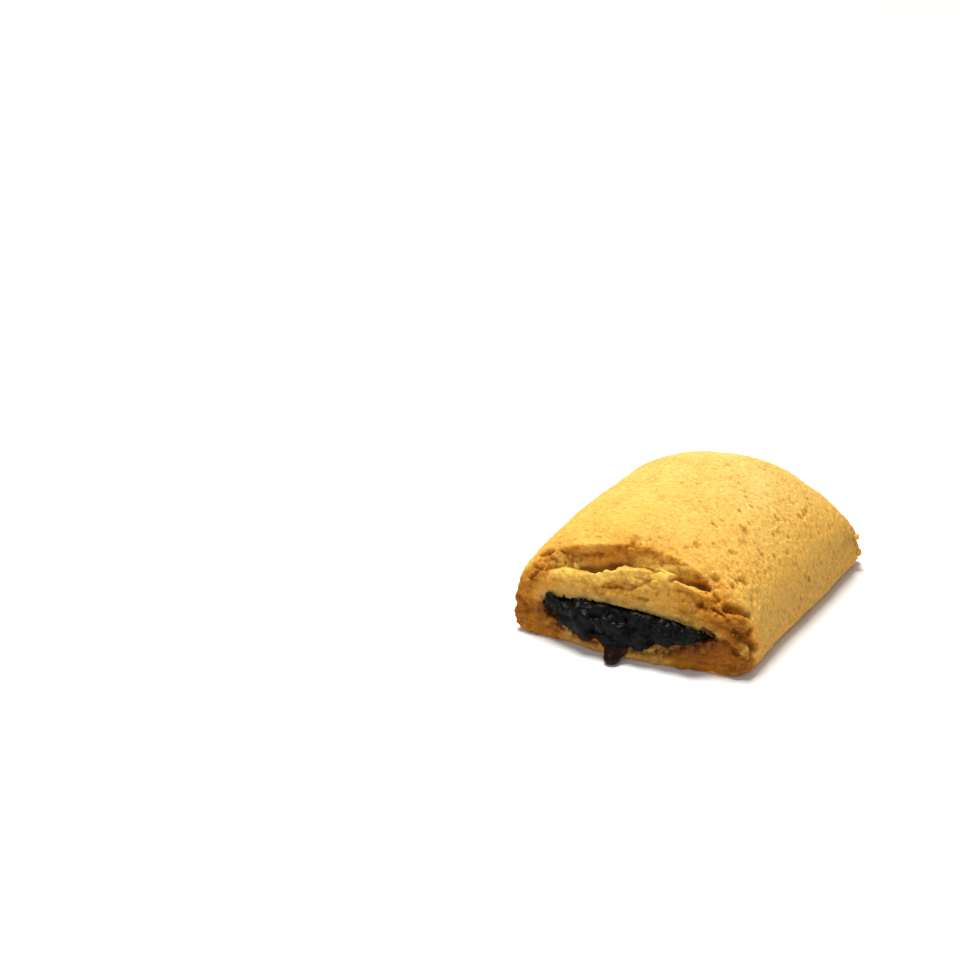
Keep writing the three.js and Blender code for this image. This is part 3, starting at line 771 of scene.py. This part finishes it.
jam.data.materials.clear()
jam.data.materials.append(cooked_berry_jam())
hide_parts("jam")
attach(jam, "root")


# ------------------------------------------------------------------------------------------------------------
# Crumbs: grains of baked shortbread that broke off when the loaf was cut, and stuck in the folds at the
# corners of the front cut. They're the same dough, toned like the crust they lie on, painted shade and all.

CRUMB_COUNT = 70
CRUMB_RADIUS = (0.13, 0.32)     # least and greatest

# Crumbs that stand out, on the far right corner: place and radius
LONE_CRUMBS = [((21.3, 29.3, 6.7), 0.6), ((21.8, 29.2, 3.5), 0.75)]

points = read_vertices(dough.data, "co")
edges = np.minimum(path_distance(points, LEFT_FOLDS), path_distance(points, RIGHT_FOLDS))
sheltered = (edges < 1.8) & (points[:, 2] > 1) & (np.abs(points[:, 0]) < 21.5)
caught = draw.permutation(np.flatnonzero(sheltered))[:CRUMB_COUNT]
crumb_places = [(points[number], draw.uniform(*CRUMB_RADIUS)) for number in caught] + LONE_CRUMBS

tree = search_tree(points)
crust_tones = np.empty(len(points), np.float32)
dough.data.attributes["toast_and_shade"].data.foreach_get("value", crust_tones)

heap = bmesh.new()
crumb_tones = []
for place, radius in crumb_places:
    middle = Vector(place)
    grown = bmesh.ops.create_icosphere(heap, subdivisions=2, radius=radius * MM)["verts"]
    for vertex in grown:
        outward = vertex.co / (radius * MM)
        lumpy = 1 + 0.5 * noise.noise(outward * 0.9 + middle) + 0.3 * noise.noise(outward * 2.3 + middle)
        vertex.co = vertex.co * lumpy + middle * MM
    tone_here = crust_tones[tree.find(place)[1]] + draw.uniform(-0.15, 0.2)
    crumb_tones += [tone_here] * len(grown)
crumb_heap = object_from(heap, "loose_crumbs")
shade_smooth(crumb_heap.data)
write_vertices(crumb_heap.data, read_vertices(crumb_heap.data, "co"))
write_attribute(crumb_heap.data, "golden", np.ones(len(crumb_tones)))
write_attribute(crumb_heap.data, "toast_and_shade", np.array(crumb_tones))
crumb_heap.data.materials.append(dough.data.materials[0])
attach(crumb_heap, "root")


# ------------------------------------------------------------------------------------------------------------
# The table: a plain sheet of matt, nearly white paper under the cookie. It's large enough to fill the view
# behind and below, and catches the soft shadow.

TABLE_HALF_WIDTH = 3.0

sheet = bmesh.new()
bmesh.ops.create_grid(sheet, x_segments=1, y_segments=1, size=TABLE_HALF_WIDTH)
table = object_from(sheet, "table")
material, tree, where = new_material("matt_white_paper")
mottle = add(tree, "TexNoise", inputs={"Vector": where, "Scale": 4.0}).outputs["Fac"]
tone = add(tree, "MapRange", inputs={"Value": mottle, "To Min": 0.9, "To Max": 0.93}).outputs[0]
shader = add(tree, "BsdfPrincipled", inputs={"Base Color": tone, "Roughness": 0.9, "Specular IOR Level": 0.1})
add(tree, "OutputMaterial", inputs={"Surface": shader.outputs[0]})
table.data.materials.append(material)


# ------------------------------------------------------------------------------------------------------------
# Light: a wide soft window high on the left and behind the cookie, a weaker one beside the camera, and a
# white room that fills the shadows. The plain view transform keeps the crown as bright as the lamps make it.

def softbox(name, place, width, watts, colour):
    """A round soft lamp that points at the cookie."""
    lamp = bpy.data.lights.new(name, "AREA")
    lamp.shape = "DISK"
    lamp.size = width
    lamp.energy = watts
    lamp.color = linear(colour)[:3]
    holder = bpy.data.objects.new(name, lamp)
    holder.location = place
    holder.rotation_euler = (-Vector(place)).to_track_quat("-Z", "Y").to_euler()
    bpy.context.scene.collection.objects.link(holder)


softbox("window", (-0.22, 0.10, 0.88), 0.42, 10.5, "#FFFCF6")
softbox("fill", (0.25, -0.90, 0.50), 0.6, 1.6, "#FFFFFF")

room = bpy.data.worlds.new("white_room")
bpy.context.scene.world = room
room.use_nodes = True
room.node_tree.nodes["Background"].inputs["Color"].default_value = linear("#FFFFFF")
room.node_tree.nodes["Background"].inputs["Strength"].default_value = 0.3
bpy.context.scene.view_settings.view_transform = "Standard"


# ------------------------------------------------------------------------------------------------------------
# The camera: a long lens from the right of the front cut, looking down on the cookie, which sits low on the
# right of a square frame.

CAMERA_PLACE_MM = (177.4, -376.7, 204.0)
CAMERA_YAW = 30.81
CAMERA_PITCH = 23.36
LENS_MM = 90
SENSOR_MM = 36

optics = bpy.data.cameras.new("camera")
optics.lens = LENS_MM
optics.sensor_width = SENSOR_MM
camera = bpy.data.objects.new("camera", optics)
camera.location = Vector(CAMERA_PLACE_MM) * MM
camera.rotation_euler = (math.radians(90 - CAMERA_PITCH), 0, math.radians(CAMERA_YAW))
bpy.context.scene.collection.objects.link(camera)
bpy.context.scene.camera = camera
